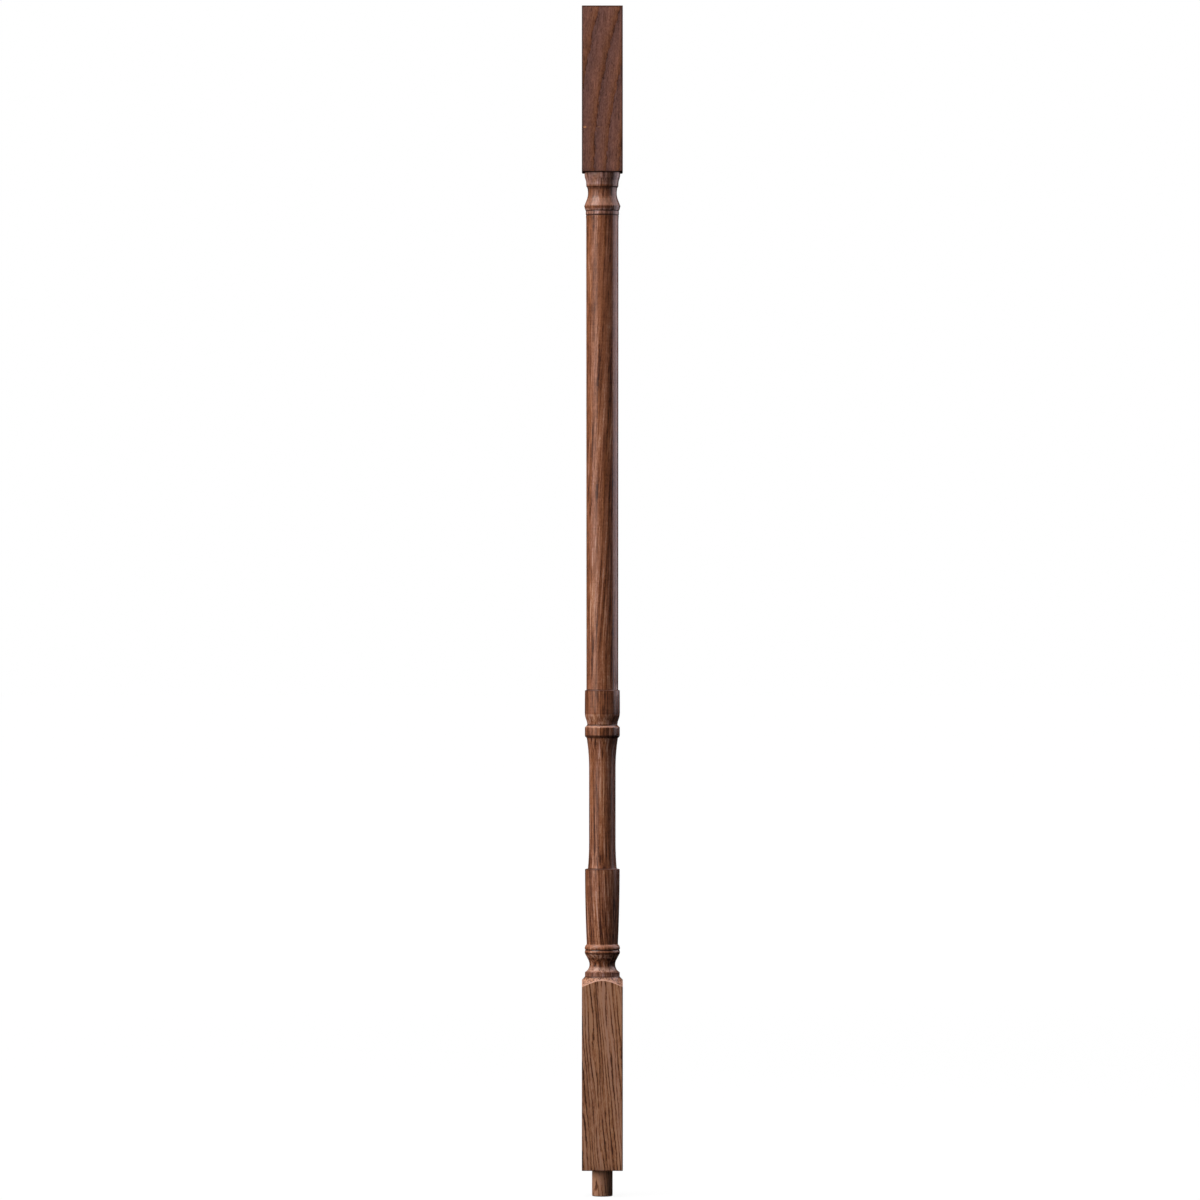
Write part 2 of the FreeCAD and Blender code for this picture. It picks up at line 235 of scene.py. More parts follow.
def trim_end(points, amount):
    """Shorten a run of points by an amount, from its last point back."""
    points = list(points)
    while len(points) > 2 and math.dist(points[-1], points[-2]) <= amount:
        amount -= math.dist(points[-1], points[-2])
        points.pop()
    share = amount / math.dist(points[-1], points[-2])
    points[-1] = tuple(a + (b - a) * share for a, b in zip(points[-1], points[-2]))
    return points


def corner_curve(first, corner, last):
    """A short curve in place of a corner, without its two ends."""
    shares = [k / (EASE_POINTS + 1) for k in range(1, EASE_POINTS + 1)]
    return [tuple((1 - t) ** 2 * a + 2 * t * (1 - t) * b + t**2 * c
                  for a, b, c in zip(first, corner, last)) for t in shares]


def turn_between(before, after):
    way = [math.atan2(b[1] - a[1], b[0] - a[0]) for a, b in (before[-2:], after[:2])]
    return abs((way[1] - way[0] + math.pi) % (2 * math.pi) - math.pi)


def eased(pieces):
    """Join pieces into one run of points, with each sharp corner eased."""
    run = list(pieces[0])
    for before, after in zip(pieces, pieces[1:]):
        if turn_between(before, after) < SHARP_TURN:
            run += after[1:]
            continue
        amount = min(EASE, EASE_SHARE * length_of(before), EASE_SHARE * length_of(after))
        corner = after[0]
        run = trim_end(run, amount)
        rest = trim_end(after[::-1], amount)[::-1]
        run += corner_curve(run[-1], corner, rest[0]) + rest
    return run


turning = eased(upper.pieces + [piece[::-1] for piece in lower.pieces[::-1]])
print(f"The whole turning is a run of {len(turning)} points")

# %% [markdown]
# ## From an outline to a skin
#
# Turning the outline with a Screw modifier gives the round part, but the blocks are square and the
# lower one meets the turning in an arch: there the lathe's hollow cut runs out on four flat faces.
# A boolean would make that arch with ragged edges. Here the skin is a net instead. Every upright
# line of the net has the same number of points, and on the blocks each line knows how far away the
# square's side is at its own angle. So the arch falls exactly on a row of the net.

# %% The angles of the net, closer together near the four long edges
ARRIS = 0.8
ARRIS_LINES = 7
CLOSE_LINES = 9
CLOSE_GAP = 0.42
WIDE_LINES = 10

flat_half = HALF_WIDTH - ARRIS
close = [flat_half - CLOSE_GAP * k for k in range(CLOSE_LINES)]
wide = [close[-1] * (1 - (k + 1) / WIDE_LINES) for k in range(WIDE_LINES)]
half_face = sorted(close + wide)
face = [math.atan2(p, HALF_WIDTH) for p in [-p for p in half_face[:0:-1]] + half_face]
corner_start = face[-1]
corner_turn = math.radians(90) - 2 * corner_start
corner = [corner_start + corner_turn * (k + 1) / (ARRIS_LINES + 1) for k in range(ARRIS_LINES)]
angles = np.array([a + math.radians(90) * side for side in range(4) for a in face + corner])
print(f"The net has {len(angles)} upright lines")

# %% How far the square's side is at each angle
folded = np.abs((angles + math.radians(45)) % math.radians(90) - math.radians(45))
along = flat_half * (np.cos(folded) + np.sin(folded))
past_corner = ARRIS**2 - 2 * flat_half**2
rounded = along + np.sqrt(np.maximum(along**2 + past_corner, 0))
square = np.where(folded > corner_start, rounded, HALF_WIDTH / np.cos(folded))
print(f"The square is {square.min():.2f} to {square.max():.2f} mm from the axis")

# %% The rows of the net from the top end down to the cap
END_EASE = 0.3
SHOULDER_EASE = 0.7
NICK = (-13.6, 808.6)
NICK_WIDE = 1.0
NICK_TALL = 0.4
NICK_DEEP = 0.3
rows = []


def inset(amount):
    """The square with its sides moved in."""
    return square * (1 - amount / HALF_WIDTH)


def add_row(radius, height):
    rows.append((np.broadcast_to(radius, angles.shape), np.broadcast_to(height, angles.shape)))


for share in (0.3, 0.6, 0.85):
    add_row(inset(END_EASE) * share, TOP_END)
for turn in np.radians(np.linspace(0, 90, 5)):
    add_row(inset(END_EASE * (1 - math.sin(turn))), TOP_END - END_EASE * (1 - math.cos(turn)))
nick_rows = NICK[1] + NICK_TALL * np.linspace(3, -3, 17)
for height in np.linspace(TOP_END - 8, nick_rows[0] + 3, 12):
    add_row(square, height)
for height in nick_rows:
    add_row(square, height)
for height in np.linspace(nick_rows[-1] - 3, TOP_SHOULDER + SHOULDER_EASE + 3, 5):
    add_row(square, height)
for turn in np.radians(np.linspace(0, 90, 6)):
    ease_height = SHOULDER_EASE * (1 - math.sin(turn))
    add_row(inset(SHOULDER_EASE * (1 - math.cos(turn))), TOP_SHOULDER + ease_height)
for share in (0.35, 0.7, 0.92):
    add_row(inset(SHOULDER_EASE) * (1 - share) + CAP_RADIUS * share, TOP_SHOULDER)
print(f"{len(rows)} rows reach down to the cap")

# %% The rows of the turning and of the hollow shoulder that arches over the lower block
SHOULDER_RISE = 7.8
SHOULDER_HOLLOW = 30.0
CLEARANCE = 1.0
SHOULDER_ROWS = 10
WORN_AND_HIGHLIT_FADE = 0.35

for radius, height in turning:
    add_row(radius, height)
clear_radius = HALF_WIDTH * math.sqrt(2) + CLEARANCE
chord = np.array([clear_radius - RING_RADIUS, -SHOULDER_RISE])
middle = np.array([RING_RADIUS, RING_FOOT]) + chord / 2
span = np.linalg.norm(chord)
stand_off = math.sqrt(SHOULDER_HOLLOW**2 - (span / 2) ** 2)
hollow_centre = middle + stand_off * np.array([-chord[1], chord[0]]) / span


def shoulder_height(radius):
    """The height of the hollow shoulder at a distance from the axis."""
    return hollow_centre[1] - np.sqrt(SHOULDER_HOLLOW**2 - (radius - hollow_centre[0]) ** 2)


for share in np.linspace(0, 1, SHOULDER_ROWS + 1)[1:]:
    radius = RING_RADIUS + (square - EASE - RING_RADIUS) * share
    add_row(radius, shoulder_height(radius))
arch = shoulder_height(square)
arch_edge = [(square - EASE, shoulder_height(square - EASE)), (square, arch), (square, arch - EASE)]
first_worn_and_highlit_row = len(rows)
for radius, height in corner_curve(*arch_edge):
    add_row(radius, height)
add_row(*arch_edge[2])
worn_and_highlit_rows = slice(first_worn_and_highlit_row, len(rows) - 2)
add_row(square, arch - EASE - WORN_AND_HIGHLIT_FADE)
print(f"The arch rises from {arch.min():.1f} mm at the corners to {arch.max():.1f} mm on the faces")

# %% The rows of the lower block and the dowel pin
PIN_RADIUS = 8.0
PIN_ROOT = 0.25
PIN_EASE = 0.5
LEVEL_ROW = 138.0

for share in (0.4, 0.75, 1.0):
    add_row(square, (arch - EASE) * (1 - share) + LEVEL_ROW * share)
for height in np.linspace(LEVEL_ROW, END_EASE, 17)[1:]:
    add_row(square, height)
for turn in np.radians(np.linspace(0, 90, 5))[1:]:
    add_row(inset(END_EASE * (1 - math.cos(turn))), END_EASE * (1 - math.sin(turn)))
for share in (0.4, 0.8, 1.0):
    add_row(inset(END_EASE) * (1 - share) + (PIN_RADIUS + PIN_ROOT) * share, 0.0)
for height in np.linspace(-PIN_ROOT, PIN_END + PIN_EASE, 5):
    add_row(PIN_RADIUS, height)
for turn in np.radians(np.linspace(0, 90, 6))[1:]:
    add_row(PIN_RADIUS - PIN_EASE * (1 - math.cos(turn)), PIN_END + PIN_EASE * (1 - math.sin(turn)))
for share in (0.6, 0.3):
    add_row((PIN_RADIUS - PIN_EASE) * share, PIN_END)
print(f"The net has {len(rows)} rows in all")

# %% Turn the rows into points, and press in the nick
radius = np.array([row[0] for row in rows])
height = np.array([row[1] for row in rows])
x = radius * np.cos(angles)
y = radius * np.sin(angles)
on_front = (np.abs(y + HALF_WIDTH) < ARRIS) & (height > TOP_SHOULDER)
dent = np.exp(-(((x - NICK[0]) / NICK_WIDE) ** 2) - ((height - NICK[1]) / NICK_TALL) ** 2)
y = y + NICK_DEEP * dent * on_front
points = np.stack([x, y, height], axis=-1).reshape(-1, 3)
points = np.vstack([points, (0, 0, TOP_END), (0, 0, PIN_END)]) * MM
print(f"The skin has {len(points)} points, and the nick is {NICK_DEEP * dent.max():.2f} mm deep")

# %% Join the points into faces
count = len(angles)
top_point = len(points) - 2
pin_point = len(points) - 1
faces = []
for row in range(len(rows) - 1):
    for line in range(count):
        here = row * count + line
        beside = row * count + (line + 1) % count
        faces.append((here, here + count, beside + count, beside))
last_row = (len(rows) - 1) * count
for line in range(count):
    beside = (line + 1) % count
    faces.append((top_point, line, beside))
    faces.append((pin_point, last_row + beside, last_row + line))

CREASE = math.radians(50)
skin = bpy.data.meshes.new("turned_baluster")
skin.from_pydata(points.tolist(), [], faces)
skin.shade_smooth()
skin.set_sharp_from_angle(angle=CREASE)
baluster = bpy.data.objects.new("turned_baluster", skin)
bpy.context.scene.collection.objects.link(baluster)
triangles = sum(len(face.vertices) - 2 for face in skin.polygons)
print(f"The skin has {triangles} triangles")

# %% [markdown]
# ### Where a point stands proud or lies deep
#
# The quirks between beads are darkened, partly as stain that gathers there and partly as painted
# shade, and the crests are made paler, partly as wear from hands and sandpaper and partly as a painted
# highlight. Both follow from one number: how far a point stands out from what is just above and below
# it. It is worked out on the net, line by line, and kept on the mesh for the wood to read. The painted
# dark of a quirk also creeps a little up its walls. The square blocks count as hardly wider than the
# beads here, so that their shoulders do not drown the small quirks. Nothing is measured beside the rims
# of the vase and of the sleeve and the feet of the vase and of the collar, so they get no quirk or crest.
# A second number marks the edge of the arch and the last bit of the shoulder before it, which are made
# pale, partly as wear and partly as a painted highlight.

# %% Measure the relief of the turning
RELIEF_REACHES = (-1.0, -0.75, -0.5, -0.25, 0.25, 0.5, 0.75, 1.0)
CREEP = (-0.25, 0.25)
CREEP_SHARE = 0.7
WIDEST_BEAD = 14.2
WIPED = 2.4
WORN_AND_HIGHLIT_WIDE = 1.6

relief = np.zeros_like(radius)
for line in range(count):
    heights = height[::-1, line]
    radii = np.minimum(radius[:, line], WIDEST_BEAD)
    around = [np.interp(height[:, line] + reach, heights, radii[::-1]) for reach in RELIEF_REACHES]
    proud = radii - np.mean(around, axis=0)
    beside = [np.interp(height[:, line] + reach, heights, proud[::-1]) for reach in CREEP]
    relief[:, line] = np.minimum(proud, CREEP_SHARE * np.min(beside, axis=0))
plain = (height > TOP_SHOULDER + 0.2) | (height < 3)
for level in (vase_foot, vase_rim, collar_foot, sleeve_rim):
    plain |= np.abs(height - level) < WIPED
relief[plain] = 0
# The arch edge and the end of the shoulder are marked to be made paler, partly as wear and partly as a
# painted highlight.
worn_and_highlit = np.zeros_like(radius)
worn_and_highlit[worn_and_highlit_rows] = 1
shoulder_rows = slice(first_worn_and_highlit_row - SHOULDER_ROWS, first_worn_and_highlit_row)
worn_and_highlit[shoulder_rows] = np.clip(1 - (square - radius[shoulder_rows]) / WORN_AND_HIGHLIT_WIDE, 0, 1)


def keep_on_mesh(name, values):
    """Store one number for each point of the net, and nought for the two end points."""
    numbers = np.append(values.ravel(), [0.0, 0.0]).astype(np.float32)
    skin.attributes.new(name, "FLOAT", "POINT").data.foreach_set("value", numbers)


keep_on_mesh("relief", relief)
keep_on_mesh("worn_and_highlit", worn_and_highlit)
print(f"Crests stand out by up to {relief.max():.2f} mm and quirks lie {-relief.min():.2f} mm deep")

# %% [markdown]
# ## Wood that runs through the whole length
#
# The figure of wood is where the cut meets the yearly rings of the tree. An image wrapped round the
# outside would bend with the beads and break at the edges. A solid pattern, worked out at each
# point in space, is cut by the shape just as the lathe cuts the tree: broad bands on a face, long
# streaks on the column and little flames in the coves. Everything is in millimetres along the
# wood, from the object's own coordinates, so it stays in the wood when the camera moves.

# %% A short way to write nodes as formulas


class Sheet:
    """Adds nodes to a node tree and links them."""

    def __init__(self, tree):
        self.tree = tree

    def node(self, kind, inputs=(), **settings):
        node = self.tree.nodes.new(kind)
        for name, value in settings.items():
            setattr(node, name, value)
        for place, value in dict(inputs).items():
            self.feed(node.inputs[place], value)
        return node

    def feed(self, socket, value):
        if isinstance(value, bpy.types.NodeSocket):
            self.tree.links.new(value, socket)
        else:
            socket.default_value = value

    def math(self, operation, *values):
        return self.node("ShaderNodeMath", enumerate(values), operation=operation).outputs[0]

    def total(self, start, *terms):
        """A start value plus each term times its weight."""
        for value, weight in terms:
            start = self.math("MULTIPLY_ADD", value, weight, start)
        return start

    def vector(self, operation, *values):
        return self.node("ShaderNodeVectorMath", enumerate(values), operation=operation)

    def join(self, *values):
        return self.node("ShaderNodeCombineXYZ", enumerate(values)).outputs[0]

    def split(self, vector):
        return self.node("ShaderNodeSeparateXYZ", {0: vector}).outputs

    def noise(self, place, across, along, detail=2.0):
        """Cloudy noise with spots of a given size across and along the grain."""
        shrink = (1 / across, 1 / across, 1 / along)
        spots = self.vector("MULTIPLY", place, shrink).outputs[0]
        inputs = {"Vector": spots, "Scale": 1.0, "Detail": detail, "Roughness": 0.55}
        return self.node("ShaderNodeTexNoise", inputs)

    def step(self, value, low, high, first=0.0, last=1.0):
        """A smooth step from one value to another."""
        inputs = enumerate((value, low, high, first, last))
        node = self.node("ShaderNodeMapRange", inputs, interpolation_type="SMOOTHSTEP")
        return node.outputs[0]

    def mix(self, share, first, second, blend="MIX"):
        inputs = {0: share, 6: first, 7: second}
        return self.node("ShaderNodeMix", inputs, data_type="RGBA", blend_type=blend).outputs[2]

    def ramp(self, value, *stops):
        node = self.node("ShaderNodeValToRGB", {0: value})
        points = node.color_ramp.elements
        while len(points) < len(stops):
            points.new(0.5)
        for point, (place, colour) in zip(points, stops):
            point.position = place
            point.color = colour
        return node.outputs[0]


def surface(name):
    """A new material, with a sheet for its nodes and its shader at hand."""
    material = bpy.data.materials.new(name)
    material.use_nodes = True
    sheet = Sheet(material.node_tree)
    sheet.material = material
    sheet.shader = sheet.tree.nodes["Principled BSDF"]
    return sheet


def stain(red, green, blue):
    """A colour as a screen shows it, from 0 to 255, in the linear values that shaders use."""
    parts = [part / 255 for part in (red, green, blue)]
    linear = [p / 12.92 if p <= 0.04045 else ((p + 0.055) / 1.055) ** 2.4 for p in parts]
    return (*linear, 1.0)


def grey(value):
    return (value, value, value, 1.0)


wood = surface("stained_hardwood")
print("The sheet for the wood is ready")

# %% [markdown]
# ### Where a point lies in the tree
#
# The blank was not sawn quite along the tree. On the column the grain leans a little to one side, and
# toward the foot it bends over to the other. A slow noise makes it wander as well. Taking all this off
# a point's place tells which fibre of the straight tree runs through it.

# %% Follow the grain
BLOCK_FOOT = 770.0
TILT = 0.058
FOOT_BEND = 0.000255
FOOT_BEND_ENDS = (430.0, 150.0)
WANDER = 2.4
WANDER_SPOT = (40.0, 230.0)

coordinates = wood.node("ShaderNodeTexCoord").outputs
place = wood.vector("SCALE", coordinates["Object"])
place.inputs["Scale"].default_value = 1 / MM
place = place.outputs[0]
across, deep, up = wood.split(place)


def squared_past(first, second):
    """The square of how far one value is past another, and nought before it."""
    past = wood.math("MAXIMUM", wood.math("SUBTRACT", first, second), 0.0)
    return wood.math("MULTIPLY", past, past)


from_foot = wood.math("SUBTRACT", up, BLOCK_FOOT)
lean = wood.total(wood.math("MULTIPLY", from_foot, TILT),
                  (squared_past(FOOT_BEND_ENDS[0], up), FOOT_BEND),
                  (squared_past(FOOT_BEND_ENDS[1], up), -FOOT_BEND))
wander = wood.noise(place, *WANDER_SPOT, detail=1.0).outputs["Color"]
wander = wood.vector("SUBTRACT", wander, (0.5, 0.5, 0.5)).outputs[0]
wander_across, wander_deep, _ = wood.split(wander)
grain_across = wood.total(across, (lean, -1.0), (wander_across, WANDER))
grain_deep = wood.total(deep, (wander_deep, WANDER))
grain = wood.join(grain_across, grain_deep, up)
print("Points now follow the grain")

# %% [markdown]
# ### Fibres and pores
#
# The wood is a bundle of fibres. Long thin noise in three sizes makes the streaks, a harder threshold
# on fine noise leaves dark threads and the short dashes where the knife opened pores, and rounder
# spots make the stain look mottled.

# %% Fibres, pores and mottling
BROAD = (3.4, 200.0)
NARROW = (1.4, 100.0)
FINE = (0.7, 26.0)
THREAD = (0.9, 70.0)
PORE = (0.55, 5.0)
MOTTLE = (2.6, 7.0)
SPECKLE = (0.75, 1.9)


def spread(size, detail=2.0):
    """Noise along the grain that goes up and down about nought."""
    return wood.math("SUBTRACT", wood.noise(grain, *size, detail=detail).outputs[0], 0.5)


broad = spread(BROAD)
narrow = spread(NARROW)
fine = spread(FINE)
mottle = spread(MOTTLE)
speckle = spread(SPECKLE)
thread = wood.step(spread(THREAD, detail=1.0), 0.08, 0.17)
pore = wood.step(spread(PORE, detail=1.0), 0.09, 0.20)
print("Streaks, threads, pores and mottling are worked out")

# %% [markdown]
# ### Yearly rings
#
# Each year adds a ring to the tree: pale wood that turns ochre and then ends in a thin dark line. In
# a stick this slim the rings are nearly flat sheets, so a ring is a slice of the distance along one
# direction. In the upper block the saw ran almost along the sheets, and they show as bands a
# centimetre wide with ragged edges, which widen and sweep over toward the end. In the foot the saw
# ran across them at a slant, and they show as fine broken lines.

# %% Count the rings
FLAT_RING = 4.9
FLAT_BAND = 9.2
FLAT_LINE = -4.7
FIRST_BAND = 11.6
FLAT_TILT = -0.015
SWEEP = 0.00125
WIDEN = 0.0038
RIFT_RING = 1.84
RIFT_BAND = 2.6
RAGGED = 5.0
RAGGED_SPOT = (1.7, 5.0)
UNEVEN = 1.6
UNEVEN_SPOT = (9.0, 60.0)

behind_front = wood.math("ADD", grain_deep, HALF_WIDTH)
uneven = spread(UNEVEN_SPOT, detail=1.0)
ragged = spread(RAGGED_SPOT)


def years(ring, band, along_front):
    """How many years deep a point is, from the width of a ring and of its band on the front."""
    tilt = math.acos(ring / band)
    return wood.total(0.0, (along_front, 1 / band), (behind_front, math.sin(tilt) / ring))


swept = squared_past(up, BLOCK_FOOT)
from_line = wood.total(grain_across, (from_foot, TILT - FLAT_TILT), (swept, -SWEEP),
                       (ragged, RAGGED), (uneven, UNEVEN), (FLAT_LINE, -1.0))
from_line = wood.math("DIVIDE", from_line, wood.total(1.0, (from_foot, WIDEN)))
before_line = wood.math("MAXIMUM", wood.math("MULTIPLY", from_line, -1.0), 0.0)
from_line = wood.total(from_line, (before_line, 1 - FLAT_BAND / FIRST_BAND))
flat_year = wood.math("FRACT", years(FLAT_RING, FLAT_BAND, from_line))
rift_count = wood.total(years(RIFT_RING, RIFT_BAND, grain_across), (uneven, 2.5), (ragged, 0.5))
rift_year = wood.math("FRACT", rift_count)
print("Two cuts through the rings are worked out")

# %% [markdown]
# ### Masks from the shape
#
# Several finishes keep to one part of the wood: the foot and the cap under the upper block are paler,
# the swell of the sleeve has rings from the lathe, paleness that is partly wear and partly painted
# highlight follows the crests, and a band of spots in the cove under the beads is a painted highlight.
# Each of these is a mask from nought to one, and small helpers make masks and put them together.

# %% Masks
CAP_FOOT = TOP_SHOULDER - 10.4
RIM_TOP = TOP_SHOULDER - 28.0
HEAD_FOOT = TOP_SHOULDER - 33.0
COVE_TOP = 169.0
COVE_FOOT = 158.0
SLEEVE_SWELL = (349.0, 362.0)
SLEEVE = (346.0, 372.0)
UNDER_SWELL = (345.8, 353.5)
COLLAR = (336.5, 343.0)
NECK = (vase_rim + 20.0, collar_foot - 12.0)
COLLAR_TOP = (343.6, 346.6)
PETALS = (164.4, 167.0)
FLARE = (TOP_SHOULDER - 26.0, TOP_SHOULDER - 20.0)
PETAL = (2.0, 5.0)
BELOW_HEAD = (HEAD_FOOT, HEAD_FOOT - 20.0)
RING_TOP = RING_FOOT + 4.2
UNDER_RING = (RING_FOOT + 0.3, RING_FOOT - 0.3)
SHOULDER_FACING = (0.3, 0.6)
PIN_TOP = (0.6, 0.0)
BEAD_FADE = (WIDEST_BEAD + 0.6, WIDEST_BEAD + 0.1)

relief_here = wood.node("ShaderNodeAttribute", attribute_name="relief").outputs["Fac"]
facing_up = wood.split(coordinates["Normal"])[2]
from_axis = wood.vector("LENGTH", wood.join(across, deep, 0.0)).outputs["Value"]


def either(*masks):
    """The strongest of several masks."""
    strongest = masks[0]
    for mask in masks[1:]:
        strongest = wood.math("MAXIMUM", strongest, mask)
    return strongest


def all_of(*masks):
    """The product of several masks."""
    product = masks[0]
    for mask in masks[1:]:
        product = wood.math("MULTIPLY", product, mask)
    return product


def between(value, low, high, fade=0.6):
    """A mask between two levels."""
    return all_of(wood.step(value, low - fade, low + fade), wood.step(value, high + fade, high - fade))


turned = wood.step(from_axis, *BEAD_FADE)
below_head = wood.step(up, *BELOW_HEAD)
outside = wood.step(from_axis, RING_RADIUS, BEAD_FADE[0])
on_pin = wood.step(up, *PIN_TOP)
in_foot = either(all_of(wood.step(up, RING_FOOT + 0.6, RING_FOOT - 0.6), outside), on_pin)
on_cap = all_of(wood.step(up, CAP_FOOT, CAP_FOOT + 1.5), turned)
on_rim = between(up, HEAD_FOOT, RIM_TOP)
on_head = between(up, HEAD_FOOT, CAP_FOOT)
on_ring = all_of(between(up, RING_FOOT, RING_TOP, fade=0.3), turned)
in_cove = between(up, COVE_FOOT, COVE_TOP)
on_swell = between(up, *SLEEVE_SWELL)
on_sleeve = between(up, *SLEEVE)
under_swell = between(up, *UNDER_SWELL)
on_collar = between(up, *COLLAR)
on_neck = between(up, *NECK, fade=8.0)
on_shoulder = all_of(wood.step(facing_up, *SHOULDER_FACING), wood.step(up, *UNDER_RING))
on_beads = between(up, COVE_TOP, vase_foot)
# The petals are painted highlight spots in the cove under the beads.
petal_highlight = all_of(between(up, *PETALS), wood.step(spread(PETAL), -0.06, 0.06))
print("The masks are ready")

# %% [markdown]
# ### The colour of the stain
#
# Stain sinks in more where the wood is open. So one tone is worked out first, from dark to pale, and
# one ramp of browns turns it into colour. The upper block is coloured straight from its rings
# instead: each one starts a dull purple brown, warms to ochre and ends in its dark line. On the hollow
# shoulder the fibres are cut across, so the same noise shows there as spots of end grain.

# %% One tone for the turning and the foot
RIFT_SPOT = (2.4, 26.0)
TURNING_RING = 1.3
BOLDER = (740.0, 300.0)
MIDDLE_TONE = 0.48
PALEST_FOOT = 0.72

rift_line = all_of(wood.step(rift_year, 0.55, 0.80), wood.step(rift_year, 1.0, 0.88),
                   wood.step(spread(RIFT_SPOT), -0.20, 0.04))
rift = wood.total(0.10, (rift_line, -0.58))
rings = wood.math("SUBTRACT", wood.noise(wood.join(0.0, 0.0, up), 1.0, TURNING_RING).outputs[0], 0.5)
streaks = wood.total(0.0, (broad, 1.5), (narrow, 1.8), (fine, 1.4), (thread, -0.28))
bold = wood.step(up, *BOLDER, 0.6, 0.95)
calm = wood.total(bold, (in_foot, -0.85), (on_sleeve, -0.1), (on_collar, -0.1), (on_beads, -0.5))
foot_streaks = wood.total(0.0, (broad, 1.3), (narrow, 1.1), (fine, 0.9))
crossed = either(in_foot, all_of(in_cove, 0.4))
tone = wood.total(MIDDLE_TONE, (all_of(streaks, calm), 1.0), (all_of(foot_streaks, in_foot), 1.0),
                  (all_of(foot_streaks, on_pin), -0.6), (rift, 0.25), (all_of(rift, crossed), 1.0))
tone = wood.total(tone, (mottle, 0.5), (all_of(mottle, in_cove), 1.2), (speckle, 0.6), (pore, -0.14))
tone = wood.total(tone, (all_of(rings, turned), 0.25), (all_of(rings, on_swell), 0.12))
# The lift on the pin is painted light, standing in for the light that the floor throws back on it.
tone = wood.total(tone, (on_sleeve, -0.13), (under_swell, 0.36), (on_collar, -0.12),
                  (in_foot, 0.09), (on_pin, 0.2), (on_neck, 0.07))
tone = wood.total(tone, (all_of(narrow, on_shoulder), 3.0), (all_of(fine, on_shoulder), 2.5),
                  (on_shoulder, -0.1))
tone = wood.math("MINIMUM", tone, wood.total(1.0, (in_foot, PALEST_FOOT - 1)))
print("The tone runs from dark to pale, and the foot stays below", PALEST_FOOT)

# %% Colour of the turning and the foot
DEEP = stain(58, 32, 23)
BROWN = stain(104, 62, 41)
RUSSET = stain(130, 80, 55)
TAN = stain(150, 101, 76)
PALE = stain(180, 137, 117)
CAP_TINT = (1.48, 2.0, 3.1, 1.0)
OCHRE_TINT = (1.03, 0.97, 0.84, 1.0)
PINK_TINT = (1.0, 1.0, 1.07, 1.0)
FOOT_TINT = (1.36, 1.62, 1.78, 1.0)
TINT_SPOT = (3.6, 110.0)

colour = wood.ramp(tone, (0.0, DEEP), (0.27, BROWN), (0.5, RUSSET), (0.73, TAN), (1.0, PALE))
tint = wood.noise(grain, *TINT_SPOT, detail=1.0).outputs[0]
tint = wood.ramp(tint, (0.36, OCHRE_TINT), (0.64, PINK_TINT))
colour = wood.mix(wood.total(1.0, (in_foot, -0.3)), colour, tint, blend="MULTIPLY")
colour = wood.mix(in_foot, colour, FOOT_TINT, blend="MULTIPLY")
rosy = either(on_cap, all_of(on_rim, 0.8), all_of(on_ring, 0.4), all_of(on_head, 0.1))
colour = wood.mix(rosy, colour, CAP_TINT, blend="MULTIPLY")
print("The browns of the turning are mixed")

# %% Colour of the upper block
SHOULDER_FADE = (TOP_SHOULDER - 0.4, TOP_SHOULDER + 0.2)
LINE_SPOT = (2.2, 8.0)
LINE_DARK = 0.9
DULL_PURPLE = stain(96, 66, 60)
MAUVE = stain(110, 74, 65)
ROSE = stain(119, 78, 64)
OCHRE = stain(112, 70, 50)
RUST = stain(100, 59, 41)
RING_LINE = stain(58, 34, 27)

bands = wood.ramp(flat_year, (0.0, DULL_PURPLE), (0.24, MAUVE), (0.60, ROSE), (0.84, OCHRE),
                  (0.95, RUST), (1.0, DULL_PURPLE))
line = all_of(wood.step(flat_year, 0.92, 0.96), wood.step(flat_year, 1.0, 0.97),
              wood.step(spread(LINE_SPOT), -0.07, 0.07))
bands = wood.mix(all_of(line, LINE_DARK), bands, RING_LINE)
shade = wood.total(1.01, (broad, 0.4), (narrow, 0.6), (fine, 0.8), (mottle, 0.8), (speckle, 1.5),
                   (pore, -0.24))
bands = wood.mix(1.0, bands, wood.join(shade, shade, shade), blend="MULTIPLY")
colour = wood.mix(wood.step(up, *SHOULDER_FADE), colour, bands)
print("The browns of the upper block are mixed")

# %% [markdown]
# ### Edges, quirks, wear and painted light
#
# On the blocks the wood is darker along the long edges, and round the top end and the end of the pin,
# where end grain drinks up the stain. The eased lower edge of the upper block, and the foot of the lower
# block with the root of the pin, are painted dark as shade. On the turning the dark follows the relief
# that was measured on the net: partly stain and partly painted shade in the quirks, and painted shade
# on surfaces that face down, in thin grooves, below the cap and on the rims of the vase and the sleeve,
# so that their ledges show no pale line. It is darker in the corner under the ring as well. The crests
# are made paler, partly as wear and partly as a painted highlight, and the slopes that face up and a few
# spots in the cove get a painted highlight. The front of the upper block has a pale scuff at its left
# edge, with a faint broken scratch beside it.

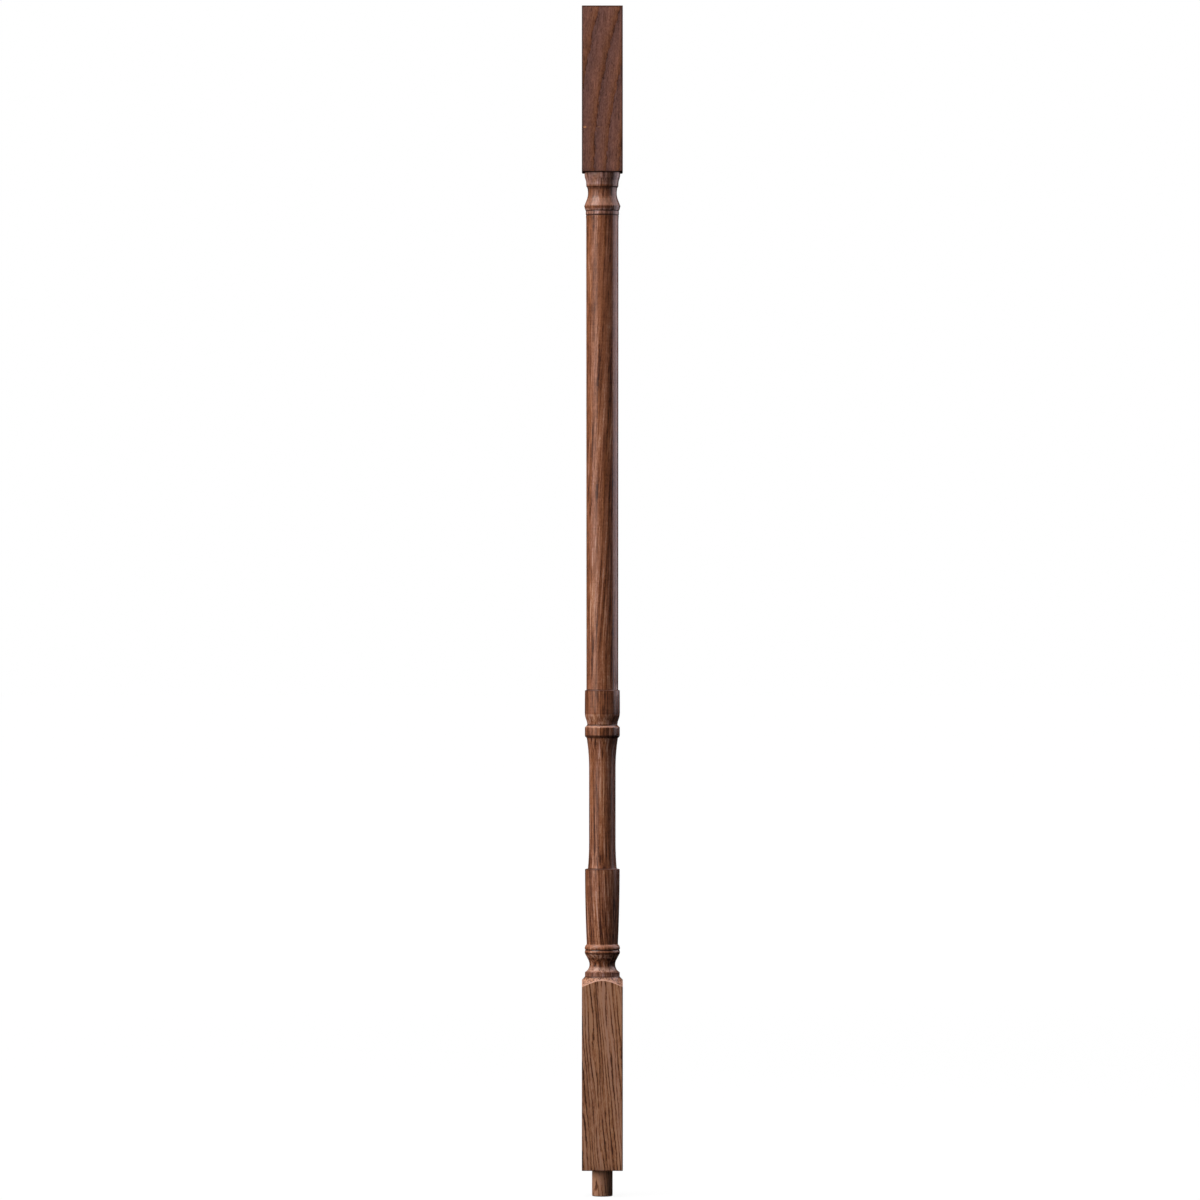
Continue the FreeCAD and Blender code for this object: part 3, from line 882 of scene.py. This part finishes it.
# %% Darken the edges, quirks, rims and overhangs
ARRIS_BAND = (1.25, 0.65)
END_BAND = (1.3, 0.6)
FOOT_BAND = (0.9, 0.3)
FOOT_DARK = 0.6
SHOULDER_BAND = (0.6, 0.3)
EDGE_DARK = 0.95
QUIRK = (-0.07, -0.22)
QUIRK_DARK = 0.9
RIM_BAND = (0.95, 0.55)
RIM_DARK = 0.8
RING_DARK = 0.46
OVERHANG = (-0.12, -0.5)
OVERHANG_DARK = 0.3
STEEP_OVERHANG = (-0.40, -0.60)
STEEP_DARK = 0.6
LINE_LEVELS = (168.1, collar_foot + 1.7, TOP_SHOULDER - 33.0)
LINE_BAND = (0.9, 0.35)
LINE_SHADE = 0.85
CAP_SHADE = (TOP_SHOULDER - 13.2, TOP_SHOULDER - 10.8)
CAP_SHADE_DARK = 0.55
RING_CORNER = (15.2, 13.7)
RING_CORNER_DARK = 0.6
PETAL_HIGHLIGHT = 0.75
LOW_ARRIS = 0.45

# Quirks are darkened, partly as stain and partly as painted shade.
quirk = wood.step(relief_here, *QUIRK)
off_swell = wood.math("SUBTRACT", 1.0, under_swell)
# Painted shade on surfaces that face down.
overhang_shade = either(all_of(wood.step(facing_up, *OVERHANG), below_head, off_swell, OVERHANG_DARK),
                  all_of(wood.step(facing_up, *STEEP_OVERHANG), turned, STEEP_DARK))
inner = wood.math("MINIMUM", wood.math("ABSOLUTE", across), wood.math("ABSOLUTE", deep))
arris = all_of(wood.step(inner, HALF_WIDTH - ARRIS_BAND[0], HALF_WIDTH - ARRIS_BAND[1]),
               wood.step(up, RING_FOOT, TOP_SHOULDER, LOW_ARRIS, 1.0))


def near(value, level, band):
    """A mask round one level, from the two ends of its fading band."""
    return wood.step(wood.math("ABSOLUTE", wood.math("SUBTRACT", value, level)), *band)


# Darker along the long edges, at the top end and at the pin's end; the lower edge of the upper block and
# the foot with the pin's root get painted shade.
top_edge = wood.step(up, TOP_END - END_BAND[0], TOP_END - END_BAND[1])
foot_edge_shade = all_of(wood.step(up, *FOOT_BAND), wood.step(up, -0.6, -0.2), FOOT_DARK)
pin_edge = wood.step(up, PIN_END + FOOT_BAND[0], PIN_END + FOOT_BAND[1])
above_shoulder = wood.step(up, TOP_SHOULDER - 0.5, TOP_SHOULDER)
shoulder_edge_shade = all_of(near(up, TOP_SHOULDER, SHOULDER_BAND), above_shoulder)
edge = either(arris, top_edge, foot_edge_shade, pin_edge, shoulder_edge_shade)
# Painted shade on the rims of the vase and the sleeve, so that their ledges show no pale line.
rims = either(*[near(up, rim + RIM_SLOPE / 2, RIM_BAND) for rim in (vase_rim, sleeve_rim)])
# Painted shade in thin lines at grooves under a bead, by the collar's foot and on the head.
lines = either(*[near(up, level, LINE_BAND) for level in LINE_LEVELS])
under_ring = all_of(between(up, RING_FOOT - 3, RING_FOOT, fade=0.2), wood.step(from_axis, *RING_CORNER))
# Stain and painted shade are mixed in together here.
dark = either(all_of(edge, EDGE_DARK), all_of(quirk, QUIRK_DARK), all_of(rims, RIM_DARK),
              all_of(on_ring, RING_DARK), all_of(lines, LINE_SHADE), overhang_shade,
              all_of(between(up, *CAP_SHADE), CAP_SHADE_DARK), all_of(under_ring, RING_CORNER_DARK))
colour = wood.mix(dark, colour, DEEP)
# Painted highlight: pale spots in the cove under the beads.
colour = wood.mix(all_of(petal_highlight, PETAL_HIGHLIGHT), colour, PALE)
print("Edges, quirks, rims and overhangs are dark")

# %% Make the crests and the slopes paler with wear and painted highlight, and add the scuff
CREST = (0.06, 0.4)
SLOPE = (0.05, 0.45)
LEDGE = (0.93, 0.88)
WEAR_AND_HIGHLIGHT = 0.15
WEAR_AND_HIGHLIGHT_LOW = 0.12
WEAR_AND_HIGHLIGHT_FLARE = 0.32
WEAR_AND_HIGHLIGHT_COVE = 0.7
WEAR_AND_HIGHLIGHT_COLLAR = 0.5
WORN_AND_HIGHLIT = 1.0
SCRATCH_END = 6.0
SCUFF = stain(196, 132, 92)

# Crests that face up are made paler, partly as wear and partly as a painted highlight.
crest = all_of(wood.step(relief_here, *CREST), wood.step(facing_up, 0.0, 0.2))
below_block = wood.step(up, TOP_SHOULDER, TOP_SHOULDER - 2)
# Slopes that face up get a painted highlight.
slope = all_of(wood.step(facing_up, *SLOPE), wood.step(facing_up, *LEDGE), below_block)
kept = wood.math("SUBTRACT", 1.0, either(quirk, rims, on_ring, under_ring))
low_down = wood.step(up, COVE_FOOT + 6, COVE_FOOT + 2)
in_low_cove = all_of(low_down, wood.step(up, RING_FOOT, RING_FOOT + 3))
on_collar_top = between(up, *COLLAR_TOP)
on_flare = between(up, *FLARE)
# How pale each part gets, as wear and painted highlight together.
wear_and_highlight = wood.total(WEAR_AND_HIGHLIGHT, (low_down, WEAR_AND_HIGHLIGHT_LOW - WEAR_AND_HIGHLIGHT), (in_low_cove, WEAR_AND_HIGHLIGHT_COVE - WEAR_AND_HIGHLIGHT_LOW),
                    (on_collar_top, WEAR_AND_HIGHLIGHT_COLLAR - WEAR_AND_HIGHLIGHT), (on_flare, WEAR_AND_HIGHLIGHT_FLARE - WEAR_AND_HIGHLIGHT),
                    (all_of(low_down, mottle), 2.5), (all_of(low_down, speckle), 2.0))
# The edge of the arch is made paler, partly as wear and partly as a painted highlight.
worn_and_highlit_edge = wood.node("ShaderNodeAttribute", attribute_name="worn_and_highlit").outputs["Fac"]
pale = either(all_of(either(crest, slope), kept, wear_and_highlight), all_of(worn_and_highlit_edge, WORN_AND_HIGHLIT))
colour = wood.mix(pale, colour, PALE)

on_front = wood.step(deep, -HALF_WIDTH + 0.6, -HALF_WIDTH + 0.3)
level = wood.math("ABSOLUTE", wood.math("SUBTRACT", up, NICK[1]))
aside = wood.math("ABSOLUTE", wood.math("SUBTRACT", across, NICK[0]))
scuff = all_of(wood.step(level, 1.1, 0.2), wood.step(aside, 1.6, 0.3))
broken = wood.step(wood.noise(place, 2.2, 2.2, detail=1.0).outputs[0], 0.42, 0.60)
fading = wood.step(across, SCRATCH_END, NICK[0], 0.12, 0.4)
between_ends = between(across, NICK[0] - 0.75, SCRATCH_END, fade=0.5)
scratch = all_of(wood.step(level, 0.65, 0.1), fading, between_ends, broken)
colour = wood.mix(all_of(on_front, either(scuff, scratch)), colour, SCUFF)
wood.feed(wood.shader.inputs["Base Color"], colour)
print("Crests, slopes and the scuff are pale")

# %% [markdown]
# ### The satin coat
#
# The clear coat is thin. It lets the pores show as tiny dents, and on the turned part it keeps the
# fine rings that the lathe left. A little of the sheen is crisp, from the coat, and the rest is
# soft, from the wood under it. End grain that faces down soaked the coat up and stays
# dull, and so does the ring over the foot.

# %% Bump and sheen
ROUGHNESS = 0.45
SHINE = 0.10
COAT = 0.35
COAT_ROUGHNESS = 0.12
DULL_UNDER = (-0.5, -0.8)
DENT = 0.04
LATHE_MARK = 0.55

lathe = wood.noise(wood.join(0.0, 0.0, up), 1.0, LATHE_MARK, detail=1.0).outputs[0]
dents = wood.total(0.5, (fine, 0.5), (narrow, 0.4), (pore, -0.5), (all_of(lathe, turned), 0.12))
bump = wood.node("ShaderNodeBump", {"Strength": 1.0, "Distance": DENT * MM, "Height": dents})
wood.feed(wood.shader.inputs["Normal"], bump.outputs[0])
rough = wood.total(ROUGHNESS, (fine, 0.25), (pore, 0.12), (quirk, 0.1))
wood.feed(wood.shader.inputs["Roughness"], rough)
wood.shader.inputs["Specular IOR Level"].default_value = SHINE
dull = either(wood.step(facing_up, *DULL_UNDER), on_ring)
wood.feed(wood.shader.inputs["Coat Weight"], wood.total(COAT, (dull, -COAT)))
wood.shader.inputs["Coat Roughness"].default_value = COAT_ROUGHNESS
baluster.data.materials.append(wood.material)
print("The coat is on")

# %% [markdown]
# ## Floor and background
#
# The wood is shown on plain white. The floor and the world are white to the camera and to
# reflections, but send little light back on the wood, so that its own colours stay as they are.
# Far from the wood the lamps no longer reach the floor, so its own glow rises there.

# %% Lay the floor and set the world
FLOOR_SIZE = 60.0
FLOOR_BOUNCE = 0.05
FLOOR_GLOW = (0.95, 1.0)
FLOOR_LIT = (1.0, 5.0)
AMBIENT = 0.04


def seen_directly(sheet):
    """One for rays from the camera, from reflections and through glass, and nought for the rest."""
    rays = sheet.node("ShaderNodeLightPath").outputs
    seen = sheet.math("MAXIMUM", rays["Is Camera Ray"], rays["Is Glossy Ray"])
    return sheet.math("MAXIMUM", seen, rays["Is Transmission Ray"])


paper = surface("white_paper")
paper.shader.inputs["Base Color"].default_value = grey(FLOOR_BOUNCE)
paper.shader.inputs["Roughness"].default_value = 1.0
paper.shader.inputs["Specular IOR Level"].default_value = 0.0
paper.shader.inputs["Emission Color"].default_value = grey(1.0)
from_wood = paper.vector("LENGTH", paper.node("ShaderNodeTexCoord").outputs["Object"]).outputs["Value"]
glow = paper.math("MULTIPLY", seen_directly(paper), paper.step(from_wood, *FLOOR_LIT, *FLOOR_GLOW))
paper.feed(paper.shader.inputs["Emission Strength"], glow)

bpy.ops.mesh.primitive_plane_add(size=FLOOR_SIZE, location=(0, 0, PIN_END * MM))
floor = bpy.context.object
floor.name = "floor"
floor.data.materials.append(paper.material)

world = bpy.data.worlds.new("white_room")
world.use_nodes = True
bpy.context.scene.world = world
room = Sheet(world.node_tree)
background = room.tree.nodes["Background"]
background.inputs["Color"].default_value = grey(1.0)
room.feed(background.inputs["Strength"], room.math("MAXIMUM", seen_directly(room), AMBIENT))
print(f"The floor is {FLOOR_SIZE:.0f} m wide, at the end of the pin")

# %% [markdown]
# ## Studio light
#
# A broad soft light stands low on the left and shapes the round parts. A lamp overhead picks out
# the slopes that face up. What a lamp adds as light and what it adds as gleam are set apart here,
# by hiding it from one kind of ray: the wood's own colour shows in the light, and the gleam alone
# makes the white shine on the shoulders. A tall card on the right, brighter above than below, leaves
# the cool strip along the column. Round most of the room and on the floor black velvet keeps the white
# out of the gleam, because a satin coat would show it as a haze over the stain.

# %% Hang the lamps
LAMP_DISTANCE = 4.0
CENTRE = (0.0, 0.0, 0.45)
ROSE_GLEAM = (1.0, 0.86, 0.82)


def on_sphere(azimuth, elevation, distance):
    """A place round the middle of the wood. Azimuth 0 is the camera's side, and plus is to the right."""
    a, e = math.radians(azimuth), math.radians(elevation)
    return (CENTRE[0] + distance * math.cos(e) * math.sin(a),
            CENTRE[1] - distance * math.cos(e) * math.cos(a),
            CENTRE[2] + distance * math.sin(e))


def softbox(name, azimuth, elevation, wide, tall, level, light=True, gleam=True, colour=(1, 1, 1)):
    """A soft lamp that lights a surface facing it with a given level, where 1 shows colours as written."""
    data = bpy.data.lights.new(name, "AREA")
    data.shape = "RECTANGLE"
    data.size = wide
    data.size_y = tall
    data.energy = level * (math.pi * LAMP_DISTANCE) ** 2
    data.color = colour
    lamp = bpy.data.objects.new(name, data)
    lamp.location = on_sphere(azimuth, elevation, LAMP_DISTANCE)
    toward = lamp.location - type(lamp.location)(CENTRE)
    lamp.rotation_euler = toward.to_track_quat("Z", "Y").to_euler()
    lamp.visible_diffuse = light
    lamp.visible_glossy = gleam
    bpy.context.scene.collection.objects.link(lamp)
    return lamp


softbox("side_light", azimuth=-60, elevation=12, wide=3.0, tall=3.2, level=1.2, gleam=False)
softbox("side_gleam", azimuth=-46, elevation=12, wide=1.8, tall=3.2, level=0.22, light=False,
        colour=ROSE_GLEAM)
softbox("high_gleam", azimuth=-58, elevation=45, wide=3.2, tall=2.6, level=0.9, light=False)
softbox("top_light", azimuth=-32, elevation=78, wide=2.2, tall=2.2, level=1.45, gleam=False)
print("The lamps hang on the left and overhead")

# %% Stand the card on the right
CARD_NEAR = -0.15
CARD_FAR = 1.0
CARD_LOW_NEAR = -0.05
CARD_LOW_FAR = 0.22
CARD_SIDE = 1.0
CARD_TOP = 2.6
CARD_MIDDLE = 0.365
CARD_FOOT = 0.165
CARD_LEVEL = 3.5
CARD_LOW = 1.9
CARD_FADE = 0.02
CARD_COLOUR = (1.0, 0.81, 0.86, 1.0)


def show_only_to_gleam(piece):
    """Studio kit that only reflections can see."""
    for kind in ("camera", "diffuse", "transmission", "shadow"):
        setattr(piece, f"visible_{kind}", False)
    bpy.context.scene.collection.objects.link(piece)
    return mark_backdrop(piece)


def stand_in(name, corners, faces, sheet):
    """A thin piece of studio kit from its corners and faces."""
    mesh = bpy.data.meshes.new(name)
    mesh.from_pydata(corners, [], faces)
    mesh.materials.append(sheet.material)
    return show_only_to_gleam(bpy.data.objects.new(name, mesh))


card = surface("lit_card")
card.shader.inputs["Base Color"].default_value = grey(0.0)
card.shader.inputs["Specular IOR Level"].default_value = 0.0
card.shader.inputs["Emission Color"].default_value = CARD_COLOUR
card_height = card.split(card.node("ShaderNodeTexCoord").outputs["Object"])[2]
card_fade = (CARD_MIDDLE - CARD_FADE, CARD_MIDDLE + CARD_FADE)
card_glow = card.step(card_height, *card_fade, CARD_LOW, CARD_LEVEL)
card.feed(card.shader.inputs["Emission Strength"], card_glow)
card_corners = []
low_half = (CARD_FOOT, CARD_MIDDLE, CARD_LOW_NEAR, CARD_LOW_FAR)
high_half = (CARD_MIDDLE, CARD_TOP, CARD_NEAR, CARD_FAR)
for foot, top, near_end, far_end in (low_half, high_half):
    card_corners += [(CARD_SIDE, near_end, foot), (CARD_SIDE, far_end, foot)]
    card_corners += [(CARD_SIDE, far_end, top), (CARD_SIDE, near_end, top)]
stand_in("white_card", card_corners, [(0, 1, 2, 3), (4, 5, 6, 7)], card)
print("The card stands on the right")

# %% Hang black velvet where the studio is dark
CURTAIN_REACH = 9.0
CURTAIN_TOP = 9.0
MAT_LIFT = 0.001

velvet = surface("black_velvet")
velvet.shader.inputs["Base Color"].default_value = grey(0.0)
velvet.shader.inputs["Specular IOR Level"].default_value = 0.0


def curtain(name, first, last):
    """A strip of curtain between two azimuths."""
    turns = np.linspace(first, last, 12)
    low = [(*on_sphere(turn, 0, CURTAIN_REACH)[:2], PIN_END * MM) for turn in turns]
    high = [(*on_sphere(turn, 0, CURTAIN_REACH)[:2], CURTAIN_TOP) for turn in turns[::-1]]
    last_corner = 2 * len(turns) - 1
    sides = [(k, k + 1, last_corner - 1 - k, last_corner - k) for k in range(len(turns) - 1)]
    return stand_in(name, low + high, sides, velvet)


curtain("front_curtain", -36, 79)
curtain("left_curtain", -180, -86)
curtain("right_curtain", 100, 180)
mat_level = PIN_END * MM + MAT_LIFT
mat_corners = [(*on_sphere(turn, 0, CURTAIN_REACH)[:2], mat_level) for turn in range(0, 360, 30)]
stand_in("floor_mat", mat_corners, [tuple(range(len(mat_corners)))], velvet)
print("Velvet hangs in front, on the left and behind, and lies on the floor")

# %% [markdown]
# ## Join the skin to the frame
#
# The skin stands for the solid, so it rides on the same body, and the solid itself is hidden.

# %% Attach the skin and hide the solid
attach(baluster, "root")
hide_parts(NODE)
